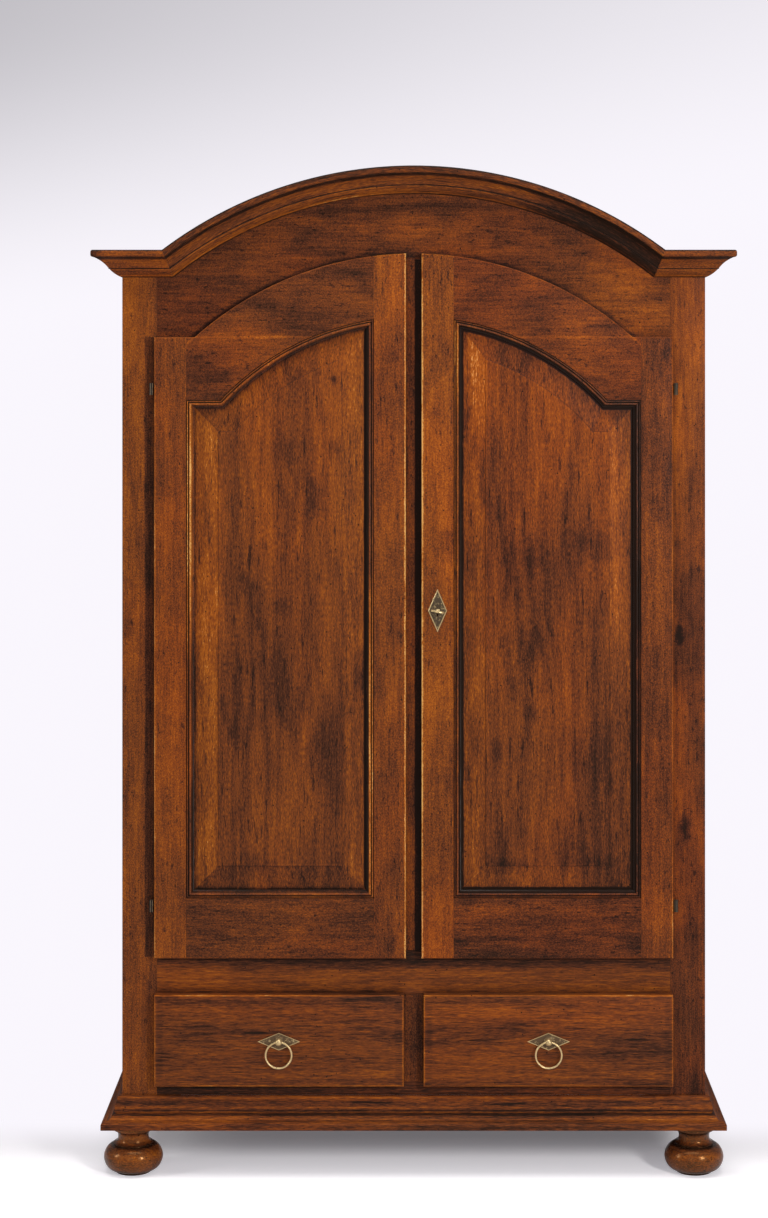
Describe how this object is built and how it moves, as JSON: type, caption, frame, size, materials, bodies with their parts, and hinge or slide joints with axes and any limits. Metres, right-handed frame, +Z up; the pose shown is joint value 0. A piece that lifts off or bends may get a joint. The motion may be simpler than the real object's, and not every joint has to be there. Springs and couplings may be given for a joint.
{
  "type": "wardrobe",
  "caption": "Freestanding wooden wardrobe with arched raised-panel doors over a row of drawers, a moulded arched cornice and turned bun feet.",
  "frame": {"origin": "centre of the overall box in plan, on the floor under the feet", "axes": "+Z up, doors and drawers face -Y, +X to the right as seen from the front"},
  "size_m": [1.3606, 0.6203, 2.139],
  "materials": {
    "walnut_stain": "satin walnut stain, worn paler at the edges",
    "panel_wood": "satin walnut stain on figured boards",
    "inner_wood": "plain planed wood, thin oil",
    "aged_brass": "aged, darkened in the hollows",
    "dark_iron": "dark, lightly oiled"
  },
  "bodies": {
    "carcass": {"back_panel": "inner_wood", "base_board": "walnut_stain", "base_moulding_front": "walnut_stain", "base_moulding_left": "walnut_stain", "base_moulding_right": "walnut_stain", "cabinet_floor": "inner_wood", "center_post": "walnut_stain", "cornice_arch": "walnut_stain", "cornice_left": "walnut_stain", "cornice_right": "walnut_stain", "drawer_divider": "walnut_stain", "foot_front_left": "walnut_stain", "foot_front_right": "walnut_stain", "foot_rear_left": "walnut_stain", "foot_rear_right": "walnut_stain", "frieze": "walnut_stain", "hanging_rail": "inner_wood", "hat_shelf": "inner_wood", "hinge_left_lower_post": "dark_iron", "hinge_left_upper_post": "dark_iron", "hinge_right_lower_post": "dark_iron", "hinge_right_upper_post": "dark_iron", "post_front_left": "walnut_stain", "post_front_right": "walnut_stain", "post_rear_left": "walnut_stain", "post_rear_right": "walnut_stain", "roof": "walnut_stain", "side_panel_left": "walnut_stain", "side_panel_right": "walnut_stain", "sill_rail": "walnut_stain"},
    "left_door": {"left_door_bead": "walnut_stain", "left_door_bottom_rail": "walnut_stain", "left_door_inner_stile": "walnut_stain", "left_door_outer_stile": "walnut_stain", "left_door_panel": "panel_wood", "left_door_top_rail": "walnut_stain", "hinge_left_lower_door": "dark_iron", "hinge_left_upper_door": "dark_iron"},
    "right_door": {"right_door_bead": "walnut_stain", "right_door_bottom_rail": "walnut_stain", "right_door_inner_stile": "walnut_stain", "right_door_outer_stile": "walnut_stain", "right_door_panel": "panel_wood", "right_door_top_rail": "walnut_stain", "hinge_right_lower_door": "dark_iron", "hinge_right_upper_door": "dark_iron", "escutcheon": "aged_brass", "lock_case": "dark_iron"},
    "turn_button": {"turn_button": "inner_wood"},
    "key": {"key": "aged_brass"},
    "lock_bolt": {"lock_bolt": "dark_iron"},
    "left_drawer": {"left_drawer_box": "inner_wood", "left_drawer_front": "walnut_stain", "left_pull_plate": "aged_brass"},
    "right_drawer": {"right_drawer_box": "inner_wood", "right_drawer_front": "walnut_stain", "right_pull_plate": "aged_brass"},
    "left_ring": {"left_ring": "aged_brass"},
    "right_ring": {"right_ring": "aged_brass"}
  },
  "joints": [
    {"name": "left_door_hinge", "type": "hinge", "parent": "carcass", "child": "left_door", "pos_m": [-0.556, -0.263, 1.119], "axis": [0, 0, -1], "range_deg": [0, 170]},
    {"name": "right_door_hinge", "type": "hinge", "parent": "carcass", "child": "right_door", "pos_m": [0.556, -0.263, 1.119], "axis": [0, 0, 1], "range_deg": [0, 170]},
    {"name": "turn_button_pivot", "type": "hinge", "parent": "left_door", "child": "turn_button", "pos_m": [-0.0605, -0.2155, 1.1985], "axis": [0, -1, 0], "range_deg": [0, 90]},
    {"name": "key_turn", "type": "hinge", "parent": "right_door", "child": "key", "pos_m": [0.0505, -0.274, 1.1985], "axis": [0, -1, 0], "range_deg": [0, 90]},
    {"name": "bolt_slide", "type": "slide", "parent": "right_door", "child": "lock_bolt", "axis": [-1, 0, 0], "range_m": [0, 0.014]},
    {"name": "left_drawer_slide", "type": "slide", "parent": "carcass", "child": "left_drawer", "axis": [0, -1, 0], "range_m": [0, 0.36]},
    {"name": "right_drawer_slide", "type": "slide", "parent": "carcass", "child": "right_drawer", "axis": [0, -1, 0], "range_m": [0, 0.36]},
    {"name": "left_ring_swing", "type": "hinge", "parent": "left_drawer", "child": "left_ring", "pos_m": [-0.2855, -0.2845, 0.287], "axis": [-1, 0, 0], "range_deg": [-6, 165]},
    {"name": "right_ring_swing", "type": "hinge", "parent": "right_drawer", "child": "right_ring", "pos_m": [0.2855, -0.2845, 0.287], "axis": [-1, 0, 0], "range_deg": [-6, 165]}
  ],
  "couplings": [
    {"joint": "key_turn", "follows": "bolt_slide", "rad_per_m": 112.2}
  ]
}
